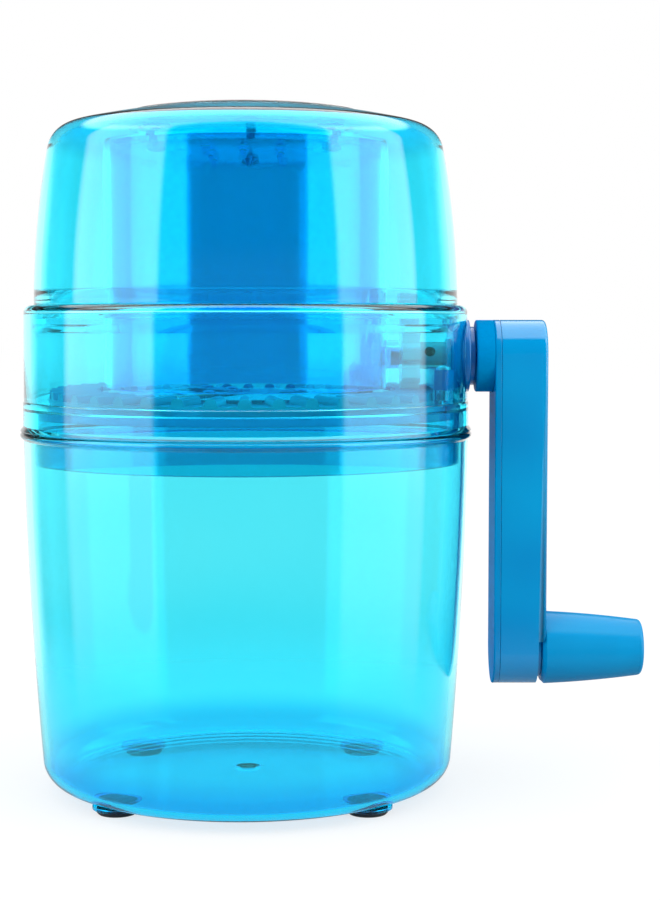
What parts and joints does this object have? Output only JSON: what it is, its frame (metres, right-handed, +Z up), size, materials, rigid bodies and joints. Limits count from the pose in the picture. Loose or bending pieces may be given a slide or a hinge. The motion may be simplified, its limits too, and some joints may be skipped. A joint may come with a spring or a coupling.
{
  "type": "hand-cranked ice crusher",
  "caption": "Clear blue tabletop ice crusher: tapered container, gear housing with a side crank that turns a blade rotor, and a domed lift-off lid.",
  "frame": {"origin": "on the container's axis, in the plane of the undersides of the four feet", "axes": "+Z up along the container's axis; +X outwards along the crank's axis; the crank arm hangs straight down at rest"},
  "size_m": [0.1923, 0.1386, 0.2098],
  "materials": {
    "clear_blue_plastic": "polished, see-through light blue",
    "chamber_blue_plastic": "polished, see-through mid blue",
    "deep_blue_plastic": "smooth, translucent deep blue",
    "white_plastic": "moulded, slightly satin",
    "black_rubber": "matt",
    "blade_steel": "brushed stainless",
    "screw_steel": "plain zinc-coloured",
    "black_steel": "black oxide"
  },
  "bodies": {
    "container": {"container": "clear_blue_plastic", "rubber_feet": "black_rubber"},
    "housing": {"housing_shell": "clear_blue_plastic", "ice_chamber": "chamber_blue_plastic", "retainer_ring": "clear_blue_plastic", "shaft_bush": "deep_blue_plastic", "bearing_bracket": "deep_blue_plastic", "bracket_screws": "screw_steel"},
    "rotor": {"crown_gear": "clear_blue_plastic", "blade_disc": "blade_steel", "blades": "blade_steel", "blade_screws": "screw_steel"},
    "crank": {"crank_shaft": "screw_steel", "pinion": "white_plastic", "pinion_screw": "black_steel", "thrust_washer": "white_plastic", "arm_cover": "deep_blue_plastic", "crank_arm": "deep_blue_plastic", "crank_screw": "screw_steel"},
    "knob": {"knob": "deep_blue_plastic", "knob_spindle": "screw_steel", "knob_clip": "screw_steel"},
    "lid": {"lid_dome": "clear_blue_plastic", "lid_sleeve": "chamber_blue_plastic", "ice_grip": "chamber_blue_plastic", "grip_screws": "screw_steel"}
  },
  "joints": [
    {"name": "housing_lift", "type": "slide", "parent": "container", "child": "housing", "axis": [0, 0, 1], "range_m": [0, 0.08]},
    {"name": "lid_lift", "type": "slide", "parent": "housing", "child": "lid", "axis": [0, 0, 1], "range_m": [0, 0.08]},
    {"name": "crank_turn", "type": "hinge", "parent": "housing", "child": "crank", "pos_m": [0.0705, 0, 0.13349], "axis": [1, 0, 0], "continuous": true},
    {"name": "rotor_turn", "type": "hinge", "parent": "housing", "child": "rotor", "pos_m": [0, 0, 0.12], "axis": [0, 0, 1], "continuous": true},
    {"name": "knob_turn", "type": "hinge", "parent": "crank", "child": "knob", "pos_m": [0.1, 0, 0.04279], "axis": [1, 0, 0], "continuous": true}
  ],
  "couplings": [
    {"joint": "rotor_turn", "follows": "crank_turn", "ratio": 0.225}
  ]
}
